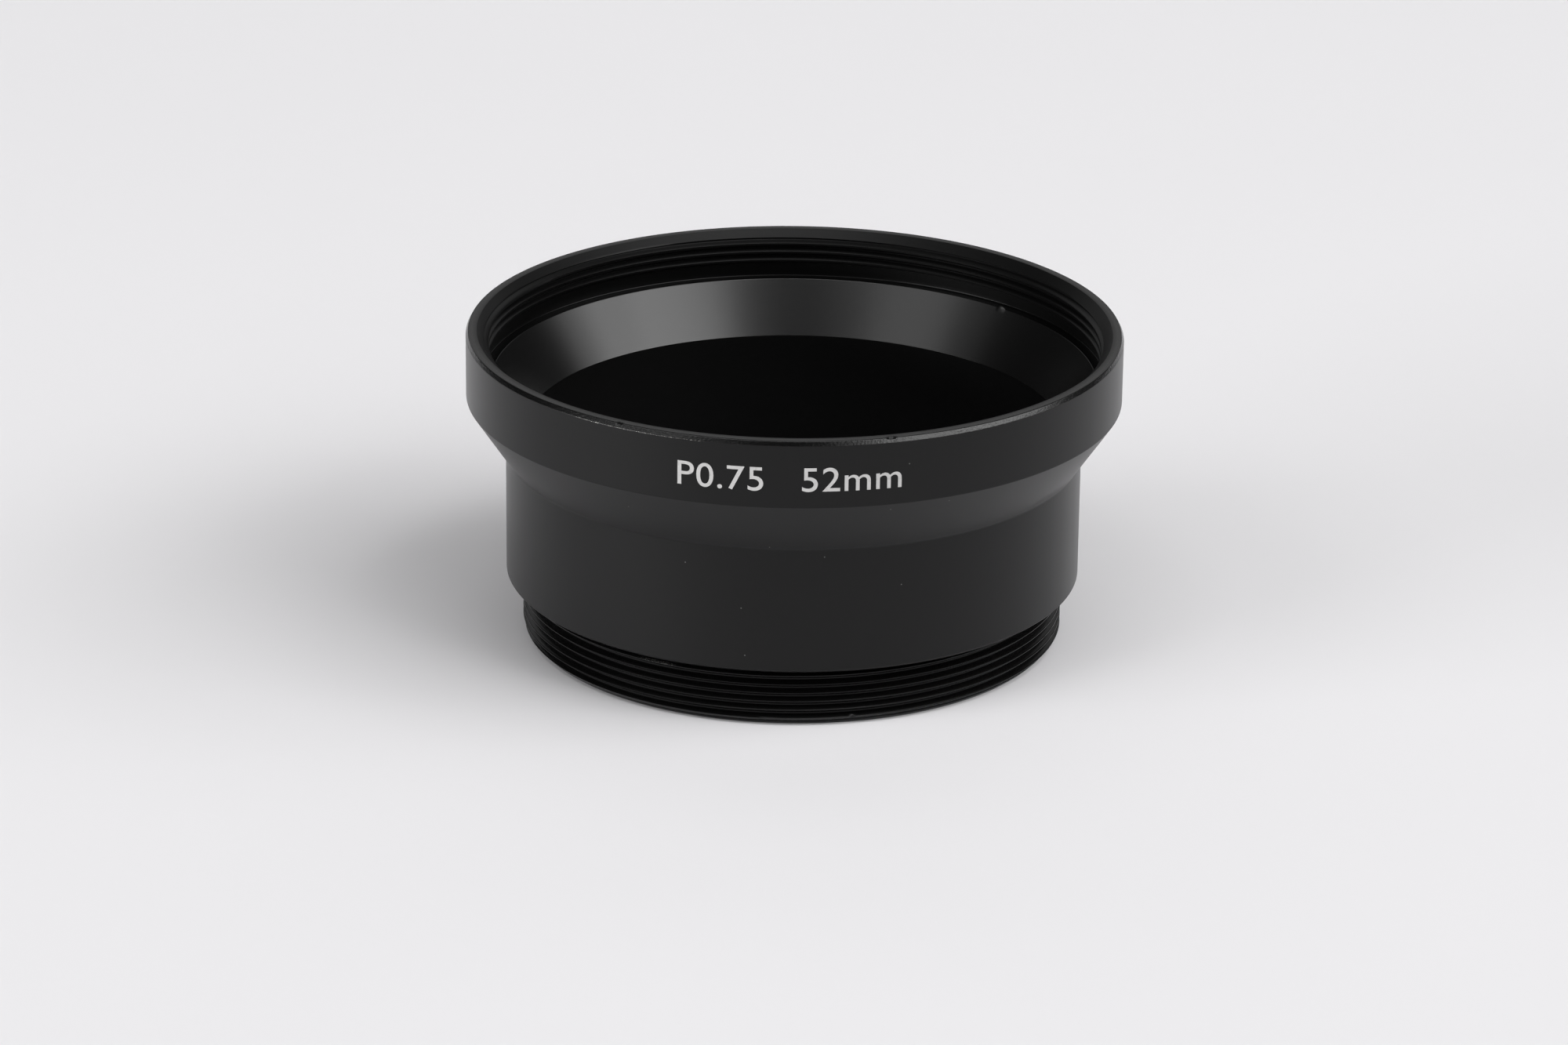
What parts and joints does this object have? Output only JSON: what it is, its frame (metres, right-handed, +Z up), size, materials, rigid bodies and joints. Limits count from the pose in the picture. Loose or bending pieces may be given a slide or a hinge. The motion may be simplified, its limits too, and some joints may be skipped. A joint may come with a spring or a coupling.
{
  "type": "lens adapter tube",
  "caption": "Short flared metal tube with a male thread at its foot and a wider female filter thread in its collar, joining a filter or add-on lens to a camera.",
  "frame": {"origin": "centre of the base ring, on the tube's axis, in the plane the tube stands on", "axes": "+Z up the tube's axis, from the camera thread towards the filter mouth"},
  "size_m": [0.055, 0.055, 0.0265],
  "materials": {
    "anodised_aluminium": "black anodised, fine satin, with bare metal along worn edges"
  },
  "bodies": {
    "root": {"adapter_tube": "anodised_aluminium"}
  },
  "joints": []
}
